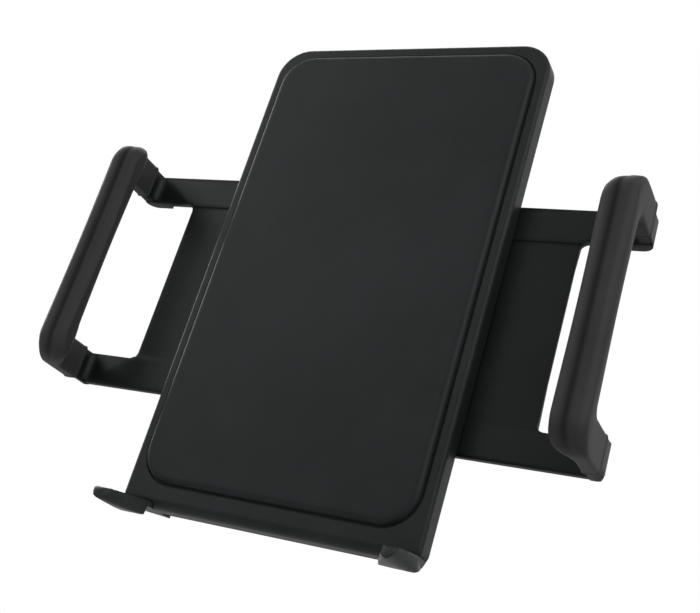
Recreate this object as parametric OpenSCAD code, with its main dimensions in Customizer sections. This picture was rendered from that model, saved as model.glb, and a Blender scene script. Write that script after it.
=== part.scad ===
// Tablet holder with a padded back plate and two linked side grips that slide in and out.
// X runs across the plate, Z up, and the padded front faces -Y. The origin is the centre
// of the rear mounting face, level with the pinion that links the two slides.

/* [Back plate] */
// Width of the back plate
plate_w = 110; // [108:1:114]
// Height of the back plate
plate_h = 185.6; // [180:0.2:190]
// Distance from the mounting centre down to the plate's lower edge
plate_drop = 83; // [80:0.1:85]
// Depth of the front shell's rim
shell_depth = 7; // [6:0.5:7.5]
// Thickness of the front shell's skin
shell_skin = 2.4; // [2:0.1:3]
// Radius of the shell's upper corners
top_radius = 12; // [10:0.5:15]
// Radius of the shell's lower corners
foot_radius = 4; // [3:0.5:6]
// Rounding of the shell's front edge
edge_round = 1.4; // [0.8:0.1:1.8]
// Larger rounding of the shell's lower front edge
low_round = 3.2; // [2:0.1:3.6]

/* [Front pad] */
// Plain rim left beside the pad
rim_side = 4.4; // [3.5:0.1:6]
// Plain band left below the pad
rim_bottom = 8.6; // [6:0.1:10]
// Plain rim left above the pad
rim_top = 5; // [4:0.1:7]
// Height of the pad above the shell
pad_raise = 1.6; // [1:0.1:2]
// Corner radius of the pad
pad_radius = 12; // [9:0.5:13]

/* [Slides and grips] */
// Height of a slide plate
slide_h = 88.4; // [86:0.2:90]
// Distance of a slide's middle below or above the pinion
slide_shift = 3; // [2.5:0.1:3.2]
// Inner edge of the hand window, from the plate's middle
window_x = 77.2; // [76:0.2:80]
// Outer end of a slide, from the plate's middle
slide_end_x = 100.6; // [99:0.2:102]
// Height of each prong beside the window
prong_h = 11.4; // [11:0.2:13]
// Distance of the grip bar's middle in front of the mounting face
grip_y = 37.9; // [36:0.1:39]
// Width of the grip bar
grip_w = 12; // [11:0.2:13]
// Thickness of the grip bar
grip_t = 8.6; // [8:0.2:9]

/* [Rack and pinion] */
// Gear module
gear_m = 1.25; // [1.25:0.05:1.25]
// Teeth on the pinion
pinion_teeth = 16; // [16:1:16]
// Pitch of the locking teeth along the right rack
lock_pitch = 2; // [2:0.5:2]

/* [Feet] */
// Reach of a foot in front of the shell
foot_reach = 16.2; // [12:0.2:17]
// Width of a foot
foot_w = 12.5; // [11:0.5:14]

/* [Mounting pattern] */
// Hole spacing across
mount_dx = 38; // [38:1:38]
// Hole spacing up and down
mount_dz = 30; // [30:1:30]
// Bore of a threaded insert
insert_bore = 4; // [3.3:0.1:4.2]

/* [Hidden] */
$fn = 64;
eps = 0.01;
zb = -plate_drop;
zt = plate_h + zb;

y_shell = -22.4;
y_seam = y_shell + shell_depth;
y_flange = y_seam - 1.6;
y_back = -4;
y_slide = -14.65;
slide_t = 2.6;
rail_t = 4.4;
rail_w = 4.2;
web_step = 0.5;
y_tongue = -11.7;
tongue_t = 3.2;
cover_w = 96;
cover_top = 92;
cover_low = zb + 0.6;
run_gap = 0.35;

slide_in_x = 33.5;
slide_top = slide_h / 2 - slide_shift;
slide_low = -slide_h / 2 - slide_shift;
slide_back = y_slide + rail_t;
slide_ease = 2.2;
prong_in = slide_end_x - 4.2;
sleeve_wall = 1.3;
bar_wall = 2.4;
sleeve_end_y = y_shell;

pitch_r = gear_m * pinion_teeth / 2;
tooth_pitch = PI * gear_m;
addendum = gear_m * 0.94;
dedendum = gear_m * 1.2;
rack_back = 6.4;
tongue_tip = 12.5;
tongue_root = 52;
axle_r = 3;
axle_gap = 0.08;
lock_depth = 0.9;
lock_z = -pitch_r - dedendum - rack_back;
lock_tip = lock_z - lock_depth - 0.15;
lock_low = -39;
lock_y0 = y_tongue + 0.6;
lock_y1 = y_tongue + tongue_t - 0.1;
button_z = -34.2;
spring_low = -44.9;

foot_top = zb + 1.9;
foot_seat_h = 2;
foot_head_z = zb + 0.6;
foot_x = plate_w / 2 - foot_w / 2;
foot_screw_y = -18.6;

cover_screw_at = [[-38, -69], [38, -69], [-39, 58], [39, 58], [-34, 79], [34, 79]];
keeper_post_at = [[-15, -30.5], [15, -30.5]];
plate_screw_at = [[-25, 0], [25, 0]];

// Outline helpers, drawn flat and stood up facing -Y

// A rectangle with its own corner radius above and below, centred on x = 0
module outline(w, low, high, r_low, r_high) {
    for (s = [-1, 1]) {
        translate([s * (w / 2 - r_low), low + r_low]) circle(r_low);
        translate([s * (w / 2 - r_high), high - r_high]) circle(r_high);
    }
    translate([-w / 2, low + r_low]) square([w, high - low - r_low - r_high]);
    translate([-w / 2 + r_low, low]) square([w - 2 * r_low, r_low + eps]);
    translate([-w / 2 + r_high, high - r_high - eps]) square([w - 2 * r_high, r_high + eps]);
}

// Extrudes an XZ outline from y0 back to y1
module stand(y0, y1) {
    translate([0, y1, 0]) rotate([90, 0, 0]) linear_extrude(y1 - y0) children();
}

// Extrudes a YZ outline from x0 to x1
module across(x0, x1) {
    translate([x0, 0, 0]) rotate([90, 0, 90]) linear_extrude(x1 - x0) children();
}

// A cylinder along Y
module rod_y(r, y0, y1) {
    translate([0, y1, 0]) rotate([90, 0, 0]) cylinder(r = r, h = y1 - y0);
}

// Half of a rounded edge: r wide from the axis, from y0 to y1, with its outer front edge
// rounded by e
module edge_profile(r, y0, y1, e) {
    translate([0, y0 + e]) square([r, y1 - y0 - e]);
    translate([0, y0]) square([r - e, e + eps]);
    translate([r - e, y0 + e]) circle(e);
}

// A slab whose front edge is rounded by e, with its front at y0
module eased_slab(w, low, high, r_low, r_high, y0, y1, e) {
    translate([0, 0, low + r_low]) linear_extrude(high - low - r_low - r_high) {
        edge_profile(w / 2, y0, y1, e);
        mirror([1, 0]) edge_profile(w / 2, y0, y1, e);
    }
    slab_end(w, low + r_low, r_low, y0, y1, e);
    translate([0, 0, high - r_high]) mirror([0, 0, 1]) slab_end(w, 0, r_high, y0, y1, e);
}

// The strip and two rounded corners below the level z
module slab_end(w, z, r, y0, y1, e) {
    translate([-w / 2 + r, 0, z]) rotate([0, 90, 0]) linear_extrude(w - 2 * r)
        edge_profile(r, y0, y1, e);
    for (s = [0, 1]) {
        mirror([s, 0, 0]) translate([w / 2 - r, 0, z]) rotate([-90, 0, 0])
            rotate_extrude(angle = 90) edge_profile(r, y0, y1, e);
    }
}

// A pan head and plain shank, driven along +Y from y0
module pan_screw(head_r, head_h, shank_r, shank_l) {
    difference() {
        union() {
            rod_y(head_r, 0, head_h);
            rod_y(shank_r, -shank_l, eps);
        }
        for (a = [0, 90]) {
            translate([0, head_h, 0]) rotate([0, a, 0])
                cube([head_r * 1.2, head_h, head_h * 0.4], center = true);
        }
    }
}

// Front shell: the shallow moulded tray seen from the front, with its pad recess, screw
// bosses and the ribs that the slides run against.
module front_shell() {
    color([0.15, 0.16, 0.16])
    difference() {
        union() {
            difference() {
                eased_slab(plate_w, zb, zt, foot_radius, top_radius, y_shell, y_seam, edge_round);
                low_edge_cut();
                stand(y_shell + shell_skin, y_seam + 1)
                    outline(plate_w - 4.4, zb + 2.2, zt - 2.2, foot_radius - 1.8, top_radius - 2.2);
            }
            intersection() {
                stand(y_shell + shell_skin - eps, y_flange)
                    outline(plate_w - 1, zb + 0.5, zt - 0.5, foot_radius - 0.5, top_radius - 0.5);
                shell_ribs();
            }
            for (p = cover_screw_at) {
                translate([p[0], 0, p[1]]) rod_y(3.2, y_shell + shell_skin - eps, y_flange);
            }
            for (s = [-1, 1]) {
                translate([s * foot_x - 3.4, y_shell + 1, zb + 1]) cube([6.8, y_flange - y_shell - 1, 8]);
            }
        }
        stand(y_shell - 1, y_shell + 0.8)
            outline(plate_w - 2 * rim_side + 1.6, zb + rim_bottom - 0.8, zt - rim_top + 0.8,
                pad_radius + 0.8, pad_radius + 0.8);
        for (p = cover_screw_at) {
            translate([p[0], 0, p[1]]) rod_y(1.25, y_shell + shell_skin + 0.4, y_seam + 1);
        }
        for (s = [-1, 1]) {
            foot_seat(s);
            translate([s * foot_x, foot_screw_y, zb - 1]) cylinder(r = 1.1, h = 9);
        }
    }
}

// What the larger rounding takes off the shell's lower front edge
module low_edge_cut() {
    across(-plate_w, plate_w) difference() {
        translate([y_shell - 1, zb - 1]) square([low_round + 1, low_round + 1]);
        translate([y_shell + low_round, zb + low_round]) circle(low_round);
    }
}

// Long upright ribs and cross ribs inside the tray
module shell_ribs() {
    for (x = [-47.2, -24, 0, 24, 47.2]) {
        translate([x - 0.8, y_shell + 1, zb + 1]) cube([1.6, shell_depth, plate_h - 2]);
    }
    for (z = [-52, -18, 18, 52, 80]) {
        translate([-plate_w / 2 + 1, y_shell + 1, z - 0.8]) cube([plate_w - 2, shell_depth, 1.6]);
    }
}

// Notch in the lower corner that a foot is let into
module foot_seat(s) {
    translate([s * (foot_x + 1) - foot_w / 2 - 1.1, y_shell - 1, zb - 1])
        cube([foot_w + 2.2, 14, foot_seat_h + 1]);
}

// Soft front pad, one thick sheet with an eased front edge
module front_pad() {
    color([0.19, 0.2, 0.2])
    eased_slab(plate_w - 2 * rim_side, zb + rim_bottom, zt - rim_top, pad_radius, pad_radius,
        y_shell - pad_raise, y_shell + 0.8, 1.2);
}

// Side view of the rear cover: a thin lower edge that swells to the mechanism's depth
module cover_side(inset) {
    polygon([[y_seam - inset * 2, cover_low + inset], [y_shell + 11.2 - inset * 0.6, cover_low + inset],
        [y_back - inset, cover_low + 17 + inset * 0.3], [y_back - inset, cover_top - 9],
        [y_back - 5 - inset, cover_top - inset], [y_seam - inset * 2, cover_top - inset]]);
}

// Rear view section of the cover, looking down: eased long edges
module cover_plan(inset) {
    half = cover_w / 2 - inset;
    back = y_back - inset;
    polygon([[-half, y_seam - 5], [half, y_seam - 5], [half, back - 4], [half - 0.6, back - 2.2],
        [half - 1.9, back - 0.8], [half - 4, back], [-half + 4, back], [-half + 1.9, back - 0.8],
        [-half + 0.6, back - 2.2], [-half, back - 4]]);
}

// The cover's outer form, or with an inset the form of its inside
module cover_form(inset) {
    intersection() {
        across(-60, 60) cover_side(inset);
        translate([0, 0, -100]) linear_extrude(220) cover_plan(inset);
        stand(y_seam - inset * 2, y_back + 1)
            outline(cover_w - 2 * inset, cover_low + inset, cover_top - inset, 5 - inset, 9 - inset);
    }
}

// Rear cover: the moulded housing that carries the slides and the mounting plate
module rear_cover() {
    color([0.13, 0.14, 0.14])
    difference() {
        union() {
            difference() {
                union() {
                    cover_form(0);
                    stand(y_flange, y_seam + eps)
                        outline(plate_w - 4.6, zb + 2.3, zt - 2.3, foot_radius - 2, top_radius - 2.3);
                }
                cover_form(2);
            }
            intersection() {
                cover_form(0.5);
                cover_inside();
            }
            rod_y(axle_r, y_tongue - 0.1, y_back - 1);
            rod_y(6, y_back - 4.1, y_back - 1);
        }
        slide_slots();
        rod_y(1.1, y_tongue - 1, y_back - 1.2);
        for (p = cover_screw_at) {
            translate([p[0], 0, p[1]]) {
                rod_y(1.7, y_flange - 1, y_back + 1);
                rod_y(3.1, y_back - 5, y_back + 1);
            }
        }
        for (p = plate_screw_at) {
            translate([p[0], 0, p[1]]) rod_y(1.25, y_back - 5, y_back + 1);
        }
        translate([-2.9, y_back - 6, button_z - 4.4]) cube([5.8, 8, 7.7]);
        stand(y_back - 1.2, y_back + 1) outline(16.4, button_z - 7.6, button_z + 6.6, 2.5, 2.5);
        for (s = [-1, 1]) {
            foot_seat(s);
        }
    }
}

// Bosses, rails and keeper posts inside the cover
module cover_inside() {
    for (p = cover_screw_at) {
        translate([p[0], 0, p[1]]) rod_y(4.6, y_flange, y_back);
    }
    for (p = keeper_post_at) {
        translate([p[0], 0, p[1]]) {
            rod_y(2.4, lock_y0 - 0.05, y_back);
            rod_y(1.2, y_tongue - 0.1, y_back);
        }
    }
    for (x = [-9.9, 8.3]) {
        translate([x, lock_y0 - 0.05, -38]) cube([1.6, y_back - lock_y0, 15]);
    }
    translate([-4.9, lock_y0 - 0.05, spring_low - 1.6]) cube([6, y_back - lock_y0, 1.6]);
    for (p = plate_screw_at) {
        translate([p[0], 0, p[1]]) rod_y(3.4, y_back - 5.2 + 1.4, y_back);
    }
    for (a = [0, 180]) {
        rotate([0, a, 0]) {
            translate([2.5, y_seam, slide_low - run_gap - 1.6]) cube([cover_w / 2, 11, 1.6]);
            translate([2.5, y_seam, slide_top + run_gap]) cube([cover_w / 2, 11, 1.6]);
        }
    }
}

// Openings in the cover's long sides for the two slides
module slide_slots() {
    for (a = [0, 180]) {
        rotate([0, a, 0]) {
            translate([cover_w / 2 - 6, y_slide - run_gap, slide_low - run_gap])
                cube([12, rail_t + 2 * run_gap, slide_h + 2 * run_gap]);
            translate([cover_w / 2 - 6, y_slide, lock_z - lock_depth - run_gap])
                cube([12, y_tongue + tongue_t + run_gap - y_slide, rack_back + lock_depth + 2 * run_gap]);
        }
    }
}

// Six screws from the back that close the two shells
module cover_screws() {
    color([0.55, 0.56, 0.57])
    for (p = cover_screw_at) {
        translate([p[0], y_back - 5, p[1]]) pan_screw(2.8, 1.8, 1.2, 9.6);
    }
}

// Mounting plate on the back with a four-hole pattern for a bracket
module mount_plate() {
    color([0.12, 0.13, 0.13])
    difference() {
        intersection() {
            stand(y_back, 0) outline(62, -24, 24, 7, 7);
            translate([0, 0, -30]) linear_extrude(60)
                polygon([[-31, y_back], [31, y_back], [31, -1.6], [29.4, 0], [-29.4, 0], [-31, -1.6]]);
        }
        for (sx = [-1, 1]) {
            for (sz = [-1, 1]) {
                translate([sx * mount_dx / 2, 0, sz * mount_dz / 2]) rod_y(3, y_back - 1, 1);
            }
        }
        for (p = plate_screw_at) {
            translate([p[0], 0, p[1]]) {
                rod_y(1.7, y_back - 1, 1);
                rod_y(3.1, -2.1, 1);
            }
        }
    }
}

// Four brass threaded inserts pressed into the mounting plate
module mount_inserts() {
    color([0.75, 0.62, 0.35])
    for (sx = [-1, 1]) {
        for (sz = [-1, 1]) {
            translate([sx * mount_dx / 2, 0, sz * mount_dz / 2]) difference() {
                rod_y(3, y_back, 0);
                rod_y(insert_bore / 2, y_back - 1, 1);
            }
        }
    }
}

// Two screws that hold the mounting plate to the cover
module plate_screws() {
    color([0.55, 0.56, 0.57])
    for (p = plate_screw_at) {
        translate([p[0], -2.1, p[1]]) pan_screw(2.8, 1.6, 1.2, 4.6);
    }
}

// Straight rack teeth along X with their tips at +Z, counted from a gap at x = 0
module rack_teeth(from, to, y0, y1) {
    half_tip = tooth_pitch / 4 - addendum * tan(20) - 0.06;
    half_root = tooth_pitch / 4 + dedendum * tan(20) - 0.06;
    stand(y0, y1)
    for (i = [from:to]) {
        translate([(i + 0.5) * tooth_pitch, 0])
            polygon([[-half_root, -dedendum - eps], [half_root, -dedendum - eps],
                [half_tip, addendum], [-half_tip, addendum]]);
    }
}

// Side view of the prongs and bar in front of a slide, shrunk by t and ending at y_end
module loop_side(t, y_end) {
    front = -grip_y - grip_t / 2 + t;
    low = slide_low - 0.9 + t;
    high = slide_top + 0.9 - t;
    r = 9 - t;
    difference() {
        union() {
            translate([front + r, low + r]) circle(r);
            translate([front + r, high - r]) circle(r);
            translate([front, low + r]) square([y_end - front, high - low - 2 * r]);
            translate([front + r, low]) square([y_end - front - r, high - low]);
        }
        loop_hole(t, y_end + 1);
    }
}

// The inside of the loop, as wide as the window, with eased corners behind the bar
module loop_hole(t, y_end) {
    front = -grip_y + grip_t / 2 - t;
    low = slide_low + prong_h + 0.3 - t;
    high = slide_top - prong_h - 0.3 + t;
    r = 5 + t;
    translate([front + r, low + r]) circle(r);
    translate([front + r, high - r]) circle(r);
    translate([front, low + r]) square([r + eps, high - low - 2 * r]);
    translate([front + r, low]) square([y_end - front - r, high - low]);
}

// Plan section of the bar, inset by t: a stadium, round at both sides
module bar_plan(t) {
    r = grip_t / 2 - t;
    translate([slide_end_x + 0.4 - grip_w / 2, -grip_y]) {
        for (s = [-1, 1]) {
            translate([s * (grip_w / 2 - grip_t / 2), 0]) circle(r);
        }
        translate([-grip_w / 2 + grip_t / 2, -r]) square([grip_w - grip_t, 2 * r]);
    }
}

// Plan section of a prong, inset by t: flat, with the bar's round edge in front
module prong_plan(t) {
    translate([slide_end_x + 0.4 - grip_t / 2, -grip_y]) circle(grip_t / 2 - t);
    translate([slide_end_x - 5 + t, -grip_y]) square([5.4 - 2 * t, grip_y]);
}

// Front view of the bar, inset by t, with round inner corners
module bar_front(t) {
    r = 6 - t;
    in = slide_end_x + 0.4 - grip_w + t;
    low = slide_low - 0.9 + t;
    high = slide_top + 0.9 - t;
    translate([in + r, low + r]) circle(r);
    translate([in + r, high - r]) circle(r);
    translate([in, low + r]) square([grip_w, high - low - 2 * r]);
    translate([in + r, low]) square([grip_w, high - low]);
}

// Prongs and bar of one loop: the prongs inset by t, the bar by t_bar
module loop_form(t, t_bar, y_end) {
    intersection() {
        across(slide_end_x - grip_w, slide_end_x + 1) loop_side(t, y_end);
        translate([0, 0, slide_low - 5]) linear_extrude(slide_h + 10) prong_plan(t);
    }
    intersection() {
        across(slide_end_x - grip_w, slide_end_x + 1) loop_side(t_bar, y_end);
        translate([0, 0, slide_low - 5]) linear_extrude(slide_h + 10) bar_plan(t_bar);
        stand(-60, 0) bar_front(t_bar);
    }
}

// Outline of a slide plate: full height inside, open window outside, notch by the pinion
module slide_outline() {
    difference() {
        union() {
            translate([slide_in_x, slide_low]) square([slide_end_x - slide_in_x - 4, slide_h]);
            translate([slide_end_x - 5, slide_low + 4]) square([5, slide_h - 8]);
            translate([slide_end_x - 4, slide_low + 4]) circle(4);
            translate([slide_end_x - 4, slide_top - 4]) circle(4);
        }
        translate([window_x + 3, slide_low + prong_h])
            square([slide_end_x - window_x, slide_h - 2 * prong_h]);
        translate([window_x, slide_low + prong_h + 3])
            square([4, slide_h - 2 * prong_h - 6]);
        translate([window_x + 3, slide_low + prong_h + 3]) circle(3);
        translate([window_x + 3, slide_top - prong_h - 3]) circle(3);
        translate([slide_in_x - 2.5, 0]) circle(6);
    }
}

// Side view of a slide between z = low and z = high, with its rear corners rounded
module slide_side(y_end, low, high) {
    r = slide_ease;
    translate([y_end - r, low + r]) circle(r);
    translate([y_end - r, high - r]) circle(r);
    translate([-60, low]) square([60 + y_end - r, high - low]);
    translate([-60, low + r]) square([60 + y_end, high - low - 2 * r]);
}

// Plate of a slide: a thin web with a rail along both edges and a rim round the window
module slide_plate() {
    intersection() {
        across(slide_in_x, slide_end_x + 1) slide_side(slide_back, slide_low, slide_top);
        union() {
            difference() {
                stand(y_slide, y_slide + slide_t) slide_outline();
                stand(y_slide - 1, y_slide + web_step) translate([slide_in_x + 8, slide_low + 12.2])
                    square([window_x - slide_in_x, slide_h - 24.4]);
            }
            translate([slide_in_x, y_slide, slide_low])
                cube([slide_end_x - slide_in_x - 4, rail_t, rail_w]);
            translate([slide_in_x + 10, y_slide, slide_top - rail_w])
                cube([slide_end_x - slide_in_x - 14, rail_t, rail_w]);
            intersection() {
                stand(y_slide, slide_back) slide_outline();
                union() {
                    translate([90, -20, -60]) cube([20, 20, 120]);
                    for (z = [-60, 20]) {
                        translate([window_x - 3, y_slide + web_step, z]) cube([3, 20, 40]);
                    }
                }
            }
        }
    }
}

// One slide with its rack below the pinion, seen at the right of the holder: a rack tongue
// behind the plate, a stop lug, and two prongs that turn forward to the bar.
module slide(toothed_edge) {
    rack_y1 = y_tongue + tongue_t;
    slide_plate();
    translate([slide_in_x, y_slide + slide_t, slide_low + 0.5])
        cube([4, rail_t + 1.2 - slide_t, rail_w - 0.5]);
    stand(y_tongue, rack_y1) {
        translate([-tongue_tip, lock_z]) square([tongue_tip + tongue_root, rack_back]);
    }
    stand(y_slide + slide_t - eps, rack_y1) {
        translate([slide_in_x, lock_z]) square([tongue_root - slide_in_x, rack_back]);
    }
    intersection() {
        translate([0, 0, -pitch_r]) rack_teeth(-4, 9, y_tongue, rack_y1);
        translate([-tongue_tip, -20, -60]) cube([tongue_tip + slide_in_x + 3, 20, 60]);
    }
    if (toothed_edge) {
        stand(y_tongue, rack_y1) lock_teeth();
    }
    slide_prongs();
    loop_form(sleeve_wall, bar_wall, y_slide + eps);
}

// The bare prong roots between the slide plate and the rubber
module slide_prongs() {
    intersection() {
        across(prong_in, slide_end_x + 0.1) intersection() {
            loop_side(0.6, slide_back - 0.2);
            slide_side(slide_back - 0.2, slide_low - 0.3, slide_top + 0.3);
        }
        translate([80, sleeve_end_y, -60]) cube([30, 20, 120]);
    }
    for (z = [slide_low + 0.6, slide_top - prong_h + 0.6]) {
        translate([prong_in - 3, y_slide - 3, z]) difference() {
            cube([3 + eps, 3 + eps, prong_h - 1.2]);
            translate([0, 0, -1]) cylinder(r = 3, h = prong_h + 2);
        }
    }
}

// Fine saw teeth under the rack, each with an upright face that stops it opening
module lock_teeth() {
    for (i = [-5:20]) {
        translate([i * lock_pitch, lock_z])
            polygon([[-1, eps], [-1, 0], [-0.1, -lock_depth], [0, -lock_depth], [0, eps]]);
    }
}

// Left slide with the rack above the pinion: the same moulding turned half round
module left_slide() {
    color([0.12, 0.13, 0.13]) rotate([0, 180, 0]) slide(false);
}

// Right slide with the rack below the pinion and the locking teeth under it
module right_slide() {
    color([0.12, 0.13, 0.13]) slide(true);
}

// One rubber grip: a sleeve over the bar and the front of both prongs, with a soft crease
// down its front face.
module grip() {
    difference() {
        loop_form(0, 0, sleeve_end_y);
        loop_form(sleeve_wall, bar_wall, y_slide);
        translate([slide_end_x - 6, -grip_y - grip_t / 2 - 0.35, slide_low + 8])
            cylinder(r = 0.9, h = slide_h - 16);
    }
}

// Rubber grip on the left loop
module left_grip() {
    color([0.2, 0.2, 0.2]) rotate([0, 180, 0]) grip();
}

// Rubber grip on the right loop
module right_grip() {
    color([0.2, 0.2, 0.2]) grip();
}

// Involute of the base circle at roll angle t, turned by a
function involute(rb, t, a) =
    [rb * (cos(t + a) + t * PI / 180 * sin(t + a)), rb * (sin(t + a) - t * PI / 180 * cos(t + a))];

// Roll angle at which the involute reaches radius r
function roll(rb, r) = r <= rb ? 0 : sqrt(r * r / (rb * rb) - 1) * 180 / PI;

// One involute tooth pointing along +X, down to the root circle
module gear_tooth(teeth, root_r, tip_r) {
    rb = pitch_r * cos(20);
    half = 90 / teeth - 0.35;
    lean = roll(rb, pitch_r) - acos(rb / pitch_r);
    t_end = roll(rb, tip_r);
    steps = 6;
    flank = [for (i = [0:steps]) involute(rb, t_end * i / steps, -half - lean)];
    polygon(concat([[root_r - 0.6, -root_r * sin(half + lean)]], flank,
        [for (i = [steps:-1:0]) [flank[i][0], -flank[i][1]]], [[root_r - 0.6, root_r * sin(half + lean)]]));
}

// Pinion that links the two racks, running on the cover's post
module pinion_gear() {
    root_r = pitch_r - dedendum;
    color([0.85, 0.84, 0.8])
    difference() {
        union() {
            stand(y_tongue + 0.1, y_tongue + tongue_t - 0.1) {
                circle(root_r);
                for (i = [0:pinion_teeth - 1]) {
                    rotate(i * 360 / pinion_teeth + 90)
                        gear_tooth(pinion_teeth, root_r, pitch_r + addendum);
                }
            }
            rod_y(5, y_tongue + 0.05, y_tongue + tongue_t + 0.25);
        }
        rod_y(axle_r + axle_gap, y_tongue - 2, 0);
        for (a = [0:60:300]) {
            rotate([0, a, 0]) translate([6.3, 0, 0]) rod_y(1, y_tongue - 1, 0);
        }
    }
}

// Washer that keeps the pinion on its post
module pinion_washer() {
    color([0.6, 0.61, 0.62])
    difference() {
        rod_y(4.6, y_tongue - 0.6, y_tongue - 0.1);
        rod_y(1.35, y_tongue - 2, 0);
    }
}

// Screw through the washer into the post
module pinion_screw() {
    color([0.55, 0.56, 0.57])
    translate([0, y_tongue - 0.6, 0]) rotate([0, 0, 180]) pan_screw(2.2, 1.3, 1.05, 5.4);
}

// Locking slide: a toothed plate that drops into the lock teeth of the right rack, with
// the stem that the release button snaps onto.
module lock_slider() {
    color([0.7, 0.69, 0.66])
    difference() {
        union() {
            stand(lock_y0, lock_y1) {
                translate([-8, lock_low]) square([16, 11]);
                translate([-5, lock_low]) square([10, lock_tip - 0.9 - lock_low]);
                for (i = [-2:1]) {
                    translate([i * lock_pitch + 1.1, lock_tip - 1])
                        polygon([[-1.05, 0], [-0.95, 0.9], [-0.75, 1], [0.85, 0]]);
                }
            }
            translate([-2.5, lock_y1 - eps, button_z - 2]) cube([5, -3.1 - lock_y1 + eps, 4]);
        }
        translate([0, (lock_y0 + lock_y1) / 2, lock_low - 1]) cylinder(r = 1.2, h = 3.4);
    }
}

// Steel keeper over the locking slide, pressed onto two posts of the cover
module lock_keeper() {
    color([0.62, 0.63, 0.64])
    difference() {
        stand(y_tongue, lock_y0 - 0.05) {
            translate([-17.5, -33]) square([35, 5]);
            translate([-11, -35]) square([22, 9]);
        }
        for (p = keeper_post_at) {
            translate([p[0], 0, p[1]]) rod_y(1.2, y_tongue - 2, 0);
        }
    }
}

// Points of a ring of n round a coil centre line at angle a
function coil_ring(coil_r, wire_r, rise, a, n) =
    [for (k = [0:n - 1]) let (u = coil_r + wire_r * cos(360 * k / n))
        [u * cos(a), u * sin(a), rise * a / 360 + wire_r * sin(360 * k / n)]];

// Small compression spring under the locking slide
module lock_spring() {
    coil_r = 0.86;
    wire_r = 0.17;
    turns = 8;
    rise = 0.88;
    n = 6;
    steps = turns * 12;
    points = [for (i = [0:steps]) each coil_ring(coil_r, wire_r, rise, i * 30, n)];
    sides = [for (i = [0:steps - 1]) for (k = [0:n - 1])
        [i * n + k, i * n + (k + 1) % n, (i + 1) * n + (k + 1) % n, (i + 1) * n + k]];
    color([0.7, 0.71, 0.72])
    translate([0, (lock_y0 + lock_y1) / 2, spring_low + wire_r + 0.02])
        polyhedron(points, concat(sides, [[for (k = [n - 1:-1:0]) k]],
            [[for (k = [0:n - 1]) steps * n + k]]));
}

// Release button on the back: a ribbed thumb pad on the locking slide's stem
module release_button() {
    color([0.16, 0.17, 0.17])
    difference() {
        union() {
            stand(-5.05, -3) outline(14, button_z - 5, button_z + 5, 2, 2);
            stand(-3.1, -1.6) outline(11, button_z - 3.8, button_z + 3.8, 1.5, 1.5);
        }
        for (z = [-2.2, 0, 2.2]) {
            translate([-7, -1.6, button_z + z]) rotate([0, 90, 0]) cylinder(r = 0.45, h = 14);
        }
        translate([-2.5, -6, button_z - 2]) cube([5, 2.9, 4]);
    }
}

// Plan of one foot: wide at its root, with a slanted inner edge and a blunt round tip
module foot_plan() {
    tip_y = y_shell - foot_reach;
    out = foot_w / 2;
    difference() {
        union() {
            translate([-out, y_shell + 2]) square([foot_w, 10.8]);
            polygon([[-out, y_shell + 2.1], [-out + 1.4, y_shell - 3], [out - 5.9, tip_y + 2.3],
                [out - 4.8, tip_y + 0.9], [out - 3.3, tip_y + 0.2], [out - 1.8, tip_y],
                [out - 0.7, tip_y + 0.5], [out, tip_y + 1.8], [out, y_shell + 2.1]]);
        }
        translate([0, foot_screw_y]) circle(1.3);
    }
}

// Side view of a foot: it droops a little towards the tip and runs out under the shell
module foot_side() {
    tip_y = y_shell - foot_reach;
    polygon([[tip_y - 1, zb - 4], [y_shell - 7, zb - 3.6], [y_shell, zb - 3], [y_shell + 2.4, zb - 2.6],
        [y_shell + 5.4, zb - 1.1], [y_shell + 7, zb], [0, zb], [0, foot_top], [y_shell - 0.5, foot_top],
        [tip_y - 1, zb + 0.2]]);
}

// One foot: a blunt finger let into the lower corner that the tablet stands on, with three
// fine grooves across its tip
module foot() {
    difference() {
        intersection() {
            translate([0, 0, zb - 10]) linear_extrude(20) foot_plan();
            across(-20, 20) foot_side();
        }
        translate([0, 0, zb - 10]) linear_extrude(10)
            polygon([[-8, y_shell - 2.6], [0.5, y_shell + 5], [8, y_shell + 7], [8, 0], [-8, 0]]);
        translate([0, foot_screw_y, zb - 6]) cylinder(r = 2.4, h = foot_head_z - zb + 6);
        for (y = [3.4, 5.4, 7.4]) {
            translate([-8, y_shell - foot_reach + y, zb + 0.3 + y * 0.11]) rotate([0, 90, 0])
                cylinder(r = 0.35, h = 16);
        }
    }
}

// Left foot
module left_foot() {
    color([0.14, 0.15, 0.15])
    translate([-foot_x, 0, 0]) mirror([1, 0, 0]) foot();
}

// Right foot
module right_foot() {
    color([0.14, 0.15, 0.15])
    translate([foot_x, 0, 0]) foot();
}

// Two screws that hold the feet from below
module foot_screws() {
    color([0.55, 0.56, 0.57])
    for (s = [-1, 1]) {
        translate([s * foot_x, foot_screw_y, foot_head_z]) rotate([-90, 0, 0])
            pan_screw(2.2, 0.9, 1.05, 6.5);
    }
}

front_shell();
front_pad();
rear_cover();
cover_screws();
mount_plate();
mount_inserts();
plate_screws();
left_slide();
right_slide();
left_grip();
right_grip();
pinion_gear();
pinion_washer();
pinion_screw();
lock_slider();
lock_keeper();
lock_spring();
release_button();
left_foot();
right_foot();
foot_screws();
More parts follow.
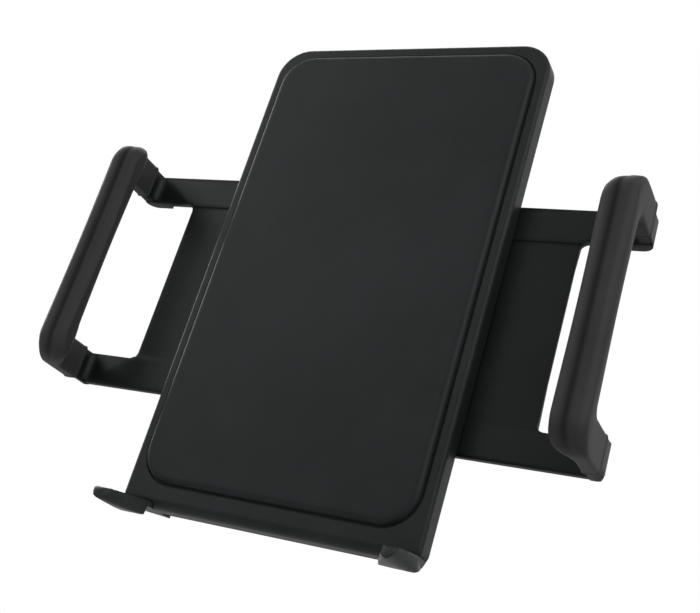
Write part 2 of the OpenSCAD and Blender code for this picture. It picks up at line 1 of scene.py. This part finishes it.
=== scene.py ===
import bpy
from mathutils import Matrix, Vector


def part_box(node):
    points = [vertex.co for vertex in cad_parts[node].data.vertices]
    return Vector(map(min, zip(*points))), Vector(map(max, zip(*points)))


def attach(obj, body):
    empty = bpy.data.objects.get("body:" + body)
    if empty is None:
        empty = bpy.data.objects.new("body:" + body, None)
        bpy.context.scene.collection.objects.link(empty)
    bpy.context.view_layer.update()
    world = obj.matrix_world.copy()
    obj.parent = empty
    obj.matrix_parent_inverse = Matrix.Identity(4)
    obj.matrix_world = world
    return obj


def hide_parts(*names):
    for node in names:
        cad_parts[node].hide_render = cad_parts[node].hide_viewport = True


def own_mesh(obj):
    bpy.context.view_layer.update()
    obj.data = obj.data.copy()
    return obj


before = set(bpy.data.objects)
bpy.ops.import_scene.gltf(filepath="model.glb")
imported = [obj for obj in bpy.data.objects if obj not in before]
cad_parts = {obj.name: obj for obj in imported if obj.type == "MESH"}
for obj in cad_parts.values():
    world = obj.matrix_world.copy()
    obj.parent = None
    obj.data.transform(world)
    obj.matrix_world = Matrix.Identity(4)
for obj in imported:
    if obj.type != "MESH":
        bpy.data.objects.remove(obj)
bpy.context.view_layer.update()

import bmesh
import bpy
import numpy as np
from mathutils import Matrix

# ------------------------ front shell
# The shallow tray that faces the user: black ABS, injection moulded with a fine spark-eroded
# grain that is matt on the faces and a little rubbed and smoother along the eased edges.
# Six screws from the back and two from below hold it.


class Shade:
    """One value in a node tree; Python's operators on it add the Math nodes."""

    def __init__(self, tree, socket):
        self.tree = tree
        self.socket = socket

    def node(self, kind, settings=None, values=None, out=0):
        """Adds a node of that kind: its settings first, then its sockets' values or links."""
        new = self.tree.nodes.new(kind)
        for name, value in (settings or {}).items():
            setattr(new, name, value)
        for name, value in (values or {}).items():
            if isinstance(value, Shade):
                self.tree.links.new(value.socket, new.inputs[name])
            else:
                new.inputs[name].default_value = value
        return Shade(self.tree, new.outputs[out])

    def math(self, operation, other):
        """A Math node on this value and another."""
        return self.node("ShaderNodeMath", {"operation": operation}, {0: self, 1: other})

    def __add__(self, other):
        return self.math("ADD", other)

    def __mul__(self, other):
        return self.math("MULTIPLY", other)

    def __sub__(self, other):
        return self.math("SUBTRACT", other)

    def __rsub__(self, other):
        return self.math("MULTIPLY", -1.0).math("ADD", other)

    __radd__ = __add__
    __rmul__ = __mul__

    def between(self, low, high):
        """0 below low, 1 above high and a smooth step between them."""
        settings = {"interpolation_type": "SMOOTHSTEP"}
        return self.node("ShaderNodeMapRange", settings, {0: self, 1: low, 2: high})

    def mix(self, first, second):
        """The first colour where this value is 0 and the second where it is 1."""
        values = {0: self, 6: (*first, 1) if isinstance(first, tuple) else first,
                  7: (*second, 1) if isinstance(second, tuple) else second}
        return self.node("ShaderNodeMix", {"data_type": "RGBA"}, values, out=2)


def new_material(name, **constants):
    """A material with one Principled shader, its constant sockets set; returns it with a
    starting value on Object coordinates."""
    material = bpy.data.materials.new(name)
    material.use_nodes = True
    shader = material.node_tree.nodes["Principled BSDF"]
    for socket, value in constants.items():
        shader.inputs[socket.replace("_", " ")].default_value = value
    coords = material.node_tree.nodes.new("ShaderNodeTexCoord")
    return material, Shade(material.node_tree, coords.outputs["Object"])


def finish(material, colour, rough, normal):
    """Links the three varying signals to the material's shader."""
    shader = material.node_tree.nodes["Principled BSDF"]
    for socket, value in (("Base Color", colour), ("Roughness", rough), ("Normal", normal)):
        if value is not None:
            material.node_tree.links.new(value.socket, shader.inputs[socket])


def noise(place, scale, detail=2.0, rough=0.5):
    """Noise with cells of 1 / scale metres."""
    values = {"Vector": place, "Scale": scale, "Detail": detail, "Roughness": rough}
    return place.node("ShaderNodeTexNoise", {}, values)


def bump(height, depth, edge=None):
    """A normal from a height from 0 to 1, depth metres deep, over an eased edge if given."""
    values = {"Strength": 1.0, "Distance": depth, "Height": height}
    if edge is not None:
        values["Normal"] = edge
    return height.node("ShaderNodeBump", {}, values)


def eased(place, radius):
    """The normal of a shape whose sharp edges are moulded with that radius."""
    return place.node("ShaderNodeBevel", {"samples": 4}, {"Radius": radius})


def moulded(name, dark, light, rough, grain, edge):
    """Spark-eroded plastic: a broad cloudy tone, a fine grain in tone, gloss and relief."""
    material, place = new_material(name, Specular_IOR_Level=0.12)
    cloud = noise(place, 38, 4, 0.6).between(0.3, 0.7)
    pits = noise(place, 2600, 2, 0.6)
    smear = noise(place, 140, 3, 0.55)
    tone = (cloud * 0.55 + pits * 0.45).mix(dark, light)
    gloss = rough + (pits - 0.5) * 0.2 + (smear - 0.5) * 0.12
    finish(material, tone, gloss, bump(pits, grain, eased(place, edge)))
    return material


def dress(node, material):
    """Gives a CAD node that material in all its slots."""
    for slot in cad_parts[node].material_slots:
        slot.material = material


dress("front_shell", moulded("shell_black", (0.0058, 0.0068, 0.0070), (0.0115, 0.0130, 0.0135),
                             0.44, 3e-5, 1e-3))

# ------------------------ front pad
# The soft sheet the tablet leans on: one moulded piece of black silicone rubber, let into a
# recess of the shell and glued there. Its front edge is rounded all round. It lies against the
# recess's left and upper walls, and a narrow groove stays open at the right and below.

(_, PAD_FRONT, PAD_LOW), (PAD_HALF, PAD_BACK, PAD_HIGH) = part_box("front_pad")
PAD_CORNER, PAD_EASE = 0.012, 0.0022
PAD_SHIFT = 0.0003
PAD_SWELL = 0.0001


def round_corners(half, low, high, radius, count):
    """Points round an upright rectangle with round corners: four quarter circles joined by
    straight sides, spaced evenly along its length from the middle of the upper side."""
    turn = np.linspace(0, np.pi / 2, 15)
    centres = [(-half + radius, high - radius, 1), (-half + radius, low + radius, 2),
               (half - radius, low + radius, 3), (half - radius, high - radius, 4)]
    arcs = [np.stack([cx + radius * np.cos(turn + q * np.pi / 2),
                      cz + radius * np.sin(turn + q * np.pi / 2)], 1) for cx, cz, q in centres]
    loop = np.concatenate([[[0, high]]] + arcs + [[[0, high]]])
    run = np.concatenate([[0], np.cumsum(np.linalg.norm(np.diff(loop, axis=0), axis=1))])
    want = np.linspace(0, run[-1], count, endpoint=False)
    return np.stack([np.interp(want, run, loop[:, 0]), np.interp(want, run, loop[:, 1])], 1)


def grid_mesh(name, grid, wrap_rows=False, wrap_columns=False):
    """A mesh from a grid of points: one quad between each four neighbours, the rows or
    columns joined round where asked."""
    rows, columns = grid.shape[:2]
    index = np.arange(rows * columns).reshape(rows, columns)
    if wrap_rows:
        index = np.vstack([index, index[:1]])
    if wrap_columns:
        index = np.hstack([index, index[:, :1]])
    quads = np.stack([index[:-1, :-1], index[:-1, 1:], index[1:, 1:], index[1:, :-1]], -1)
    mesh = bpy.data.meshes.new(name)
    mesh.from_pydata(grid.reshape(-1, 3).tolist(), [], quads.reshape(-1, 4).tolist())
    mesh.polygons.foreach_set("use_smooth", [True] * len(mesh.polygons))
    mesh.update()
    return mesh


def place(name, mesh, material, body, slot, *nodes):
    """Adds the mesh as a piece on a body, in place of the CAD nodes named."""
    piece = bpy.data.objects.new(name, mesh)
    bpy.context.scene.collection.objects.link(piece)
    mesh.materials.append(material)
    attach(piece, body)
    if nodes:
        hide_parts(*nodes)
    return piece


def pad_surface(count=260):
    """Rings round the pad from the back's middle line out over the eased edge and in to the
    front's middle line. Each ring is the outline moved in; past the corner radius it closes
    on the middle line by a share of the way, and the face swells by PAD_SWELL."""
    half, high = PAD_HALF + PAD_SHIFT, PAD_HIGH + 2 * PAD_SHIFT
    outer = round_corners(half, PAD_LOW, high, PAD_CORNER, count)
    edge = np.linspace(0, np.pi / 2, 9)
    inset = np.concatenate([[0.0006, 0.0], PAD_EASE * (1 - np.cos(edge))])
    depth = np.concatenate([[PAD_BACK, PAD_BACK - 0.0002],
                            PAD_FRONT + PAD_SWELL + PAD_EASE * 0.8 * (1 - np.sin(edge))])
    share = np.linspace(0.03, 1.0, 26)
    spine_z = np.clip(outer[:, 1], PAD_LOW + half, high - half)
    rings = [np.stack([0 * spine_z, np.full(count, PAD_BACK), spine_z], 1)]
    for step, y in zip(inset, depth):
        ring = round_corners(half - step, PAD_LOW + step, high - step,
                             max(PAD_CORNER - step, 0.002), count)
        rings.append(np.stack([ring[:, 0], np.full(count, y), ring[:, 1]], 1))
    last = rings[-1]
    for part in share:
        x = last[:, 0] * (1 - part)
        z = last[:, 2] + (spine_z - last[:, 2]) * part
        y = PAD_FRONT + PAD_SWELL * (1 - np.sin(part * np.pi / 2))
        rings.append(np.stack([x, np.full(count, y), z], 1))
    return np.stack(rings) - np.array([PAD_SHIFT, 0, 0])


def joined(mesh):
    """Merges the points that lie together where a surface closes on a line."""
    work = bmesh.new()
    work.from_mesh(mesh)
    bmesh.ops.remove_doubles(work, verts=work.verts[:], dist=1e-6)
    work.to_mesh(mesh)
    work.free()
    return mesh


def silicone():
    """Matt silicone: a soft even black with a faint cloud, dust in the finest grain."""
    material, here = new_material("pad_silicone", Specular_IOR_Level=0.1, Sheen_Weight=0.02,
                                  Sheen_Roughness=0.5)
    cloud = noise(here, 22, 4, 0.6).between(0.25, 0.75)
    grain = noise(here, 1900, 3, 0.65)
    wipe = noise(here, 75, 3, 0.5)
    tone = (cloud * 0.6 + grain * 0.4).mix((0.0062, 0.0074, 0.0077), (0.0125, 0.0147, 0.0153))
    gloss = 0.47 + (wipe - 0.5) * 0.05 + (grain - 0.5) * 0.14
    finish(material, tone, gloss, bump(grain * 0.85 + wipe * 0.15, 2.5e-5))
    return material


pad_mesh = joined(grid_mesh("pad_sheet", pad_surface(), wrap_columns=True))
pad = place("pad_sheet", pad_mesh, silicone(), "holder", "pad_rubber", "front_pad")

# ------------------------ rear cover and mounting plate
# The housing behind the shell and the plate screwed to it: the same black ABS with a coarser
# grain, because nobody looks at it. Four brass inserts are pressed into the plate.

dress("rear_cover", moulded("cover_black", (0.009, 0.010, 0.0103), (0.018, 0.0195, 0.02),
                            0.56, 5e-5, 5e-4))
dress("mount_plate", moulded("plate_black", (0.008, 0.009, 0.0094), (0.0165, 0.018, 0.0185),
                             0.5, 3e-5, 4e-4))


def turned_brass():
    """Turned brass: fine rings round each insert's axis in gloss and relief, dull stains."""
    material, here = new_material("turned_brass", Metallic=1.0)
    rings = here.node("ShaderNodeTexWave", {"wave_type": "RINGS", "rings_direction": "Y"},
                      {"Vector": here, "Scale": 900.0, "Distortion": 1.5, "Detail": 2.0}, out=1)
    stain = noise(here, 420, 3).between(0.35, 0.75)
    finish(material, stain.mix((0.62, 0.45, 0.19), (0.42, 0.29, 0.12)), 0.28 + stain * 0.2,
           bump(rings, 1e-5))
    return material


dress("mount_inserts", turned_brass())

# ------------------------ screws and keeper
# Zinc-plated steel: pan-head thread-forming screws, the washer and the keeper strip. The
# plating is a pale grey with a light cloud and rub marks.


def zinc_plate():
    """Zinc plating: bright metal with a cloudy passivation and short rub marks along X."""
    material, here = new_material("zinc_plate", Metallic=1.0)
    stretched = here.node("ShaderNodeMapping", {}, {"Vector": here, "Scale": (60, 900, 900)})
    rub = noise(stretched, 1.0, 3, 0.6)
    cloud = noise(here, 300, 3).between(0.3, 0.75)
    finish(material, cloud.mix((0.52, 0.53, 0.55), (0.38, 0.39, 0.41)),
           0.3 + rub * 0.16 + cloud * 0.1, bump(rub, 8e-6))
    return material


zinc = zinc_plate()
for steel_node in ("cover_screws", "plate_screws", "foot_screws", "pinion_washer",
                   "pinion_screw", "lock_keeper"):
    dress(steel_node, zinc)

# ------------------------ slides
# Two identical glass-filled nylon mouldings, the left one turned half round. The sliding
# faces are satin and polished by the guides; each ends in a prong above and below.

SLIDE_BACK, WEB_BACK = -0.01025, -0.01205
RIB_X, RIB_END = 0.074, 0.020
PLAN_ROUND, END_ROUND = 0.0042, 0.0034
MERGE = 0.004
SHARP = 0.55


def round_off(corner, towards, radius, steps):
    """Planes that round an edge: tangent to the circle of that radius that touches both of
    the edge's faces, whose outward normals are the two given. Each plane is a point and a
    normal."""
    first, second = (np.array(normal, float) for normal in towards)
    centre = np.array(corner, float) - radius * (first + second)
    turns = np.linspace(0, np.pi / 2, steps + 2)[1:-1]
    normals = [first * np.cos(turn) + second * np.sin(turn) for turn in turns]
    return [(centre + radius * normal, normal) for normal in normals]


def carved(node, moved, cuts, side):
    """A copy of a CAD node's mesh, its points moved by a function and what lies beyond each
    plane cut off and closed. Both are given for the right-hand part: side is (1, 1, 1) for
    it, (-1, 1, -1) for the same part turned half round and (-1, 1, 1) for its mirror image.
    It is cut in millimetres, and points closer than MERGE are merged."""
    work = bmesh.new()
    work.from_mesh(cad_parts[node].data)
    bmesh.ops.remove_doubles(work, verts=work.verts[:], dist=2e-6)
    points = moved(np.array([vertex.co[:] for vertex in work.verts]) * side)
    for vertex, point in zip(work.verts, points * side):
        vertex.co = point * 1000
    for point, normal in cuts:
        geometry = work.verts[:] + work.edges[:] + work.faces[:]
        bmesh.ops.bisect_plane(work, geom=geometry, dist=1e-4, plane_co=point * side * 1000,
                               plane_no=normal * side, clear_outer=True)
        bmesh.ops.remove_doubles(work, verts=work.verts[:], dist=MERGE)
        rim = [edge for edge in work.edges if edge.is_boundary]
        if rim:
            bmesh.ops.triangle_fill(work, edges=rim, use_beauty=True, normal=normal * side)
    bmesh.ops.scale(work, vec=(0.001, 0.001, 0.001), verts=work.verts[:])
    bmesh.ops.recalc_face_normals(work, faces=work.faces[:])
    mesh = bpy.data.meshes.new(node + "_body")
    work.to_mesh(mesh)
    work.free()
    mesh.polygons.foreach_set("use_smooth", [True] * len(mesh.polygons))
    mesh.set_sharp_from_angle(angle=SHARP)
    return mesh


def faded_rib(points):
    """The rib beside the window runs out: its free ends sink to the web's back."""
    x, y, z = points.T
    ends = (abs(abs(z) - RIB_END) < 3e-4) & (x > RIB_X) & (y > SLIDE_BACK - 1e-4)
    points[ends, 1] = WEB_BACK + 1e-5
    return points


slide_black = moulded("slide_black", (0.0026, 0.0036, 0.0034), (0.0056, 0.0071, 0.0068), 0.42,
                      2.5e-5, 2.2e-3)
(_, _, SLIDE_LOW), (SLIDE_END, _, SLIDE_TOP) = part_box("right_slide")
slide_cuts = round_off((SLIDE_END, SLIDE_BACK, 0), ((1, 0, 0), (0, 1, 0)), PLAN_ROUND, 6)
slide_cuts += round_off((SLIDE_END, 0, SLIDE_LOW), ((1, 0, 0), (0, 0, -1)), END_ROUND, 5)
slide_cuts += round_off((SLIDE_END, 0, SLIDE_TOP), ((1, 0, 0), (0, 0, 1)), END_ROUND, 5)
for word, side in (("right", (1, 1, 1)), ("left", (-1, 1, -1))):
    node = word + "_slide"
    body = place(node + "_body", carved(node, faded_rib, slide_cuts, side), slide_black,
                 word + "_arm", "slide_plastic", node)
    body.modifiers.new("flat_faces_stay_flat", "WEIGHTED_NORMAL").keep_sharp = True

# ------------------------ grips
# A rubber sleeve pulled over each bar and most of both prongs. It is dipped soft rubber,
# thick on the bar, with a soft crease down the front where the tablet's edge lies.

(BAR_LEFT, LOOP_FRONT, LOOP_LOW), (BAR_RIGHT, GRIP_BACK, LOOP_HIGH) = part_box("right_grip")
LOOP_INNER = LOOP_FRONT + 0.0086
SLEEVE_BACK = GRIP_BACK + 0.0030
PRONG_TALL, PRONG_WIDE = 0.0126, 0.0054
CORNER_OUT, CORNER_IN, CORNER_SIDE = 0.009, 0.005, 0.006
PRONG_EDGE, BAR_EDGE = 0.0020, 0.0041
WALL, LIP = 0.0013, 0.22
CREASE, CREASE_WIDE, CREASE_DEEP, FALL = 0.56, 0.1, 0.0006, 0.0014
BEAD_AT, BEAD_WIDE, BEAD_HIGH, STATION = 0.0010, 0.0006, 0.00024, 0.00038


def loop_lines(count):
    """The sleeve's outer and inner lines in side view, from the lower prong's end over both
    corners to the upper prong's end. Each line is two straight prongs, two quarter circles
    and the bar, and both have the same number of points in each stretch."""
    steps = np.round(np.array([0.17, 0.17, 0.32]) * count).astype(int)
    turn = np.linspace(0, np.pi / 2, steps[1], endpoint=False)

    def line(front, low, high, radius):
        first = np.linspace(SLEEVE_BACK, front + radius, steps[0], endpoint=False)
        middle = np.linspace(low + radius, high - radius, steps[2], endpoint=False)
        last = np.linspace(front + radius, SLEEVE_BACK, steps[0])
        y = np.concatenate([first, front + radius * (1 - np.sin(turn)),
                            np.full(len(middle), front), front + radius * (1 - np.cos(turn)),
                            last])
        z = np.concatenate([np.full(len(first), low), low + radius * (1 - np.cos(turn)),
                            middle, high - radius * (1 - np.sin(turn)), np.full(len(last), high)])
        return np.stack([y, z], 1)

    outer = line(LOOP_FRONT, LOOP_LOW, LOOP_HIGH, CORNER_OUT)
    inner = line(LOOP_INNER, LOOP_LOW + PRONG_TALL, LOOP_HIGH - PRONG_TALL, CORNER_IN)
    return outer, inner


def smooth(value, low, high):
    """0 below low, 1 above high, 3 t^2 - 2 t^3 between them."""
    t = np.clip((value - low) / (high - low), 0, 1)
    return t * t * (3 - 2 * t)


def sleeve_width(y, z):
    """The sleeve's width at a point: the bar's in front, less a round corner of side view
    radius CORNER_SIDE above and below, narrowing smoothly to the prong's behind the bar."""
    rest = np.clip(CORNER_SIDE - np.minimum(z - LOOP_LOW, LOOP_HIGH - z), 0, CORNER_SIDE)
    wide = BAR_RIGHT - BAR_LEFT - CORNER_SIDE + np.sqrt(CORNER_SIDE ** 2 - rest ** 2)
    return wide + (PRONG_WIDE - wide) * smooth(y, LOOP_INNER - 0.0022, LOOP_INNER + 0.0050)


def sleeve_surface(side, count=210, columns=80):
    """A closed tube along the loop. Its section is a rectangle with round corners, laid out
    as a share u of the width and a height n from the loop's middle line; u then runs over
    the sleeve's width at that point, from the flush outer side. The outer skin turns in at
    both ends and comes back a wall's thickness inside it. On the bar's front the part
    beyond the crease, at u > CREASE, falls back a little, and the crease is a soft dip,
    exp(-((u - CREASE) / CREASE_WIDE)^2), which is also returned as the mask of painted
    shade in the crease. A bead, the same bell in the distance from the end, stands up near both
    ends."""
    outer, inner = loop_lines(count)
    middle = (outer + inner) / 2
    across = (outer - inner) / 2
    half_n = np.linalg.norm(across, axis=1)
    across /= half_n[:, None]
    on_bar = 1 - smooth(middle[:, 0], LOOP_FRONT + 0.0045, LOOP_INNER + 0.0020)
    around = np.linspace(0, 2 * np.pi, columns, endpoint=False)
    full = (BAR_RIGHT - BAR_LEFT) / 2
    station = np.arange(len(on_bar))
    run = np.minimum(station, station[::-1]) * STATION
    bead = BEAD_HIGH * np.exp(-((run - BEAD_AT) / BEAD_WIDE) ** 2)
    shells = []
    for shrink in (0.0, WALL):
        radius = PRONG_EDGE + (BAR_EDGE - PRONG_EDGE) * on_bar - shrink * 0.6
        height = half_n - shrink + (0.0 if shrink else bead)
        x = np.clip(np.cos(around) * 3, -1, 1)[None] * (full - radius)[:, None]
        n = np.clip(np.sin(around) * 3, -1, 1)[None] * (height - radius)[:, None]
        u = 0.5 - (x + radius[:, None] * np.cos(around)) / (2 * full)
        n = n + radius[:, None] * np.sin(around)
        if not shrink:
            front = np.clip(np.sin(around) * 1.6, 0, 1)[None] * on_bar[:, None]
            crease = front * np.exp(-((u - CREASE) / CREASE_WIDE) ** 2)
            n = n - CREASE_DEEP * crease
            n = n - FALL * front * np.clip(u - CREASE, 0, 1) / (1 - CREASE)
        points = np.empty(u.shape + (3,))
        points[..., 1:] = middle[:, None] + across[:, None] * n[..., None]
        width = sleeve_width(points[..., 1], points[..., 2]) - 2 * shrink
        swell = np.zeros_like(width) if shrink else np.repeat(bead[:, None], columns, 1)
        points[..., 0] = BAR_RIGHT - shrink + swell - (width + 2 * swell) * u
        shells.append(points)
    skin, bore = shells
    skin = skin.copy()
    lip = 0.5 * (skin[[0, -1]] + bore[[0, -1]])
    skin[[0, -1]] = skin[[0, -1]] + (bore[[0, -1]] - skin[[0, -1]]) * LIP
    grid = np.concatenate([skin, lip[1:], bore[::-1], lip[:1]])
    if side < 0:
        grid = grid * np.array([-1, 1, -1])
    # The crease's dip as a mask over the outer skin, which the rubber uses for painted shade.
    crease_shade = np.zeros(grid.shape[:2])
    crease_shade[:len(crease)] = crease
    return grid[:, ::-1], crease_shade[:, ::-1]


def soft_rubber():
    """Dipped rubber: a warm charcoal, slightly chalky on top of the grain, with painted shade
    darkening the crease, which the mesh gives as an attribute; the crease is also rougher."""
    material, here = new_material("grip_rubber_black", Specular_IOR_Level=0.15, Sheen_Weight=0.03,
                                  Sheen_Roughness=0.45)
    cloud = noise(here, 55, 3, 0.55).between(0.25, 0.75)
    grain = noise(here, 2100, 3, 0.65)
    crease_shade = here.node("ShaderNodeAttribute", {"attribute_name": "crease_shade"}, {}, out=2)
    unshaded_tone = (cloud * 0.5 + grain * 0.5).mix((0.0125, 0.0128, 0.013), (0.025, 0.0255, 0.0258))
    # Painted shade: the crease is darkened almost to black by its mask.
    tone = (crease_shade * 0.68).mix(unshaded_tone, (0.003, 0.003, 0.0031))
    finish(material, tone, 0.6 + (grain - 0.5) * 0.2 + crease_shade * 0.4, bump(grain, 4e-5))
    return material


rubber = soft_rubber()
for word, side in (("right", 1), ("left", -1)):
    name = word + "_sleeve"
    points, crease_shade = sleeve_surface(side)
    mesh = grid_mesh(name, points, wrap_rows=True, wrap_columns=True)
    # The crease mask goes on the mesh for the rubber's painted shade.
    mesh.attributes.new("crease_shade", "FLOAT", "POINT").data.foreach_set("value", crease_shade.ravel())
    place(name, mesh, rubber, word + "_arm", "grip_rubber", word + "_grip")

# ------------------------ drive and lock
# The pinion and the lock slider are natural acetal, milky and waxy; the release button is
# black ABS with a finer grain than the cover. The slider stands on a small spring of plated
# music wire, whose lower end rests on a shelf in the housing.


def acetal():
    """Natural acetal: a milky white with faint flow clouds and a waxy shine."""
    material, here = new_material("acetal_white", Specular_IOR_Level=0.5)
    cloud = noise(here, 160, 3).between(0.3, 0.7)
    tone = cloud.mix((0.68, 0.67, 0.63), (0.76, 0.75, 0.71))
    finish(material, tone, 0.34 + cloud * 0.1,
           bump(noise(here, 1400, 2), 1e-5, eased(here, 2e-4)))
    return material


waxy = acetal()
dress("pinion_gear", waxy)
dress("lock_slider", waxy)
dress("release_button", moulded("button_black", (0.011, 0.012, 0.0124), (0.023, 0.0245, 0.025),
                                0.42, 2e-5, 3e-4))


def as_wound(points):
    """The spring's points stay where they are at rest."""
    return points


spring = place("spring_coil", carved("lock_spring", as_wound, [], (1, 1, 1)), zinc, "holder",
               "steel", "lock_spring")
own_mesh(spring)

# ------------------------ feet
# Two blunt fingers of black ABS let into the lower corners and held by a screw from below.
# Their edges are well rounded, and the root slants up to the shell's corner.

(FOOT_IN, FOOT_TIP, FOOT_LOW), (FOOT_OUT, _, FOOT_TOP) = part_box("right_foot")
FOOT_ROUND, TIP_ROUND, INNER_ROUND = 0.0034, 0.0019, 0.0020
DRAW_IN, ROOT_IN = 0.0005, 0.0008
ROOT_START, ROOT_END = -0.0204, -0.0154
SEAT_X, SEAT_Y, SEAT_Z = 0.04925, -0.0174, -0.083
FLANK, FLANK_NORMAL = (0.0439, -0.0254), (-0.90, -0.436, 0)


def blended_root(points):
    """The outer side draws in below the seat by DRAW_IN times the squared depth, and behind
    the finger by ROOT_IN more, and ends there at ROOT_END. The face behind the finger, two
    slanting lines in plan that meet at the seat, leans forward by as much as it is deep,
    from nothing at the inner side."""
    x, y, z = points.T.copy()
    low = np.clip((FOOT_TOP - z) / (FOOT_TOP - SEAT_Z), 0, 1) ** 2
    root = smooth(y, ROOT_START, ROOT_END)
    side = x > FOOT_OUT - 1e-4
    points[side, 0] -= (DRAW_IN * low * (1 - root) + (DRAW_IN + ROOT_IN * low) * root)[side]
    line = SEAT_Y + (x - SEAT_X) * np.where(x < SEAT_X, 0.894, 0.267)
    slant = (abs(y - line) < 2e-4) & (z < SEAT_Z - 2e-4)
    points[slant, 1] -= ((SEAT_Z - z) * np.clip((x - FOOT_IN) / 0.006, 0, 1))[slant]
    points[side & (y > ROOT_END), 1] = ROOT_END
    return points


foot_black = moulded("foot_black", (0.010, 0.011, 0.0112), (0.022, 0.0235, 0.024), 0.4,
                     3e-5, 1e-3)
foot_cuts = round_off((FOOT_OUT - DRAW_IN, 0, FOOT_LOW + 0.0003), ((1, 0, 0), (0, 0, -1)),
                      FOOT_ROUND, 5)
foot_cuts += round_off((*FLANK, FOOT_LOW + 0.0004), (FLANK_NORMAL, (0, 0, -1)), INNER_ROUND, 4)
foot_cuts += round_off((0, FOOT_TIP, FOOT_LOW), ((0, -1, 0), (0, 0, -1)), TIP_ROUND, 4)
foot_cuts += round_off((0, FOOT_TIP, FOOT_TOP - 0.0016), ((0, -1, 0), (0, 0, 1)), TIP_ROUND, 4)
for word, side in (("right", (1, 1, 1)), ("left", (-1, 1, 1))):
    node = word + "_foot"
    body = place(node + "_body", carved(node, blended_root, foot_cuts, side), foot_black,
                 "holder", "foot_plastic", node)
    body.modifiers.new("flat_faces_stay_flat", "WEIGHTED_NORMAL").keep_sharp = True

# ------------------------ floor, light, camera
# A pale studio table under the holder, which the wall mount keeps in the air; soft boxes at
# the upper left, near the right grip, above, and behind at the left for the edges.

scene = bpy.context.scene
scene.view_settings.view_transform = "Standard"

FLOOR_Z, FLOOR_HALF = -0.32, 4
corners = [(FLOOR_HALF * x, FLOOR_HALF * y, FLOOR_Z)
           for x, y in ((-1, -1), (1, -1), (1, 1), (-1, 1))]
floor_mesh = bpy.data.meshes.new("floor")
floor_mesh.from_pydata(corners, [], [(0, 1, 2, 3)])
floor = bpy.data.objects.new("floor", floor_mesh)
scene.collection.objects.link(floor)
floor_grey, floor_place = new_material("floor_pale", Roughness=0.9)
floor_tone = noise(floor_place, 3, 2).mix((0.78, 0.78, 0.78), (0.82, 0.82, 0.82))
finish(floor_grey, floor_tone, None, None)
floor_mesh.materials.append(floor_grey)

ROOM_LIGHT = 0.25
world = bpy.data.worlds.new("white_room")
scene.world = world
world.use_nodes = True
tree = world.node_tree
path = tree.nodes.new("ShaderNodeLightPath")
seen = Shade(tree, path.outputs["Is Camera Ray"])
for ray in ("Is Glossy Ray", "Is Transmission Ray"):
    seen = seen.math("MAXIMUM", Shade(tree, path.outputs[ray]))
strength = seen * (1 - ROOM_LIGHT) + ROOM_LIGHT
tree.nodes["Background"].inputs["Color"].default_value = (1, 1, 1, 1)
tree.links.new(strength.socket, tree.nodes["Background"].inputs["Strength"])


def soft_box(name, spot, aim, size, watts):
    """A square area lamp at a point, turned towards another."""
    lamp = bpy.data.lights.new(name, "AREA")
    lamp.shape = "SQUARE"
    lamp.size = size
    lamp.energy = watts
    holder = bpy.data.objects.new(name, lamp)
    scene.collection.objects.link(holder)
    away = np.array(spot, float) - np.array(aim, float)
    away /= np.linalg.norm(away)
    side = np.cross([0, 0, 1], away)
    side /= np.linalg.norm(side)
    up = np.cross(away, side)
    turn = np.stack([side, up, away], 1)
    holder.matrix_world = Matrix([[*turn[i], spot[i]] for i in range(3)] + [[0, 0, 0, 1]])


soft_box("left_box", (-0.85, -1.0, 0.52), (0, 0, 0), 0.6, 3.8)
soft_box("right_box", (0.62, -0.52, 0.36), (0.05, 0, 0), 0.7, 5.8)
soft_box("top_box", (-0.5, 0.42, 0.95), (0, 0, 0), 0.7, 6.2)
soft_box("edge_box", (-1.0, 0.22, 0.45), (0, 0, 0), 0.7, 7.5)

# The photograph's camera, fitted to the holder's outline in it.
camera_data = bpy.data.cameras.new("camera")
camera_data.lens = 59.5
camera_data.sensor_width = 36
camera = bpy.data.objects.new("camera", camera_data)
scene.collection.objects.link(camera)
camera.matrix_world = Matrix((
    (0.87708, -0.08458, 0.47285, 0.18976),
    (0.39082, -0.44669, -0.80482, -0.33249),
    (0.27929, 0.89068, -0.35872, -0.14243),
    (0, 0, 0, 1)))
scene.camera = camera
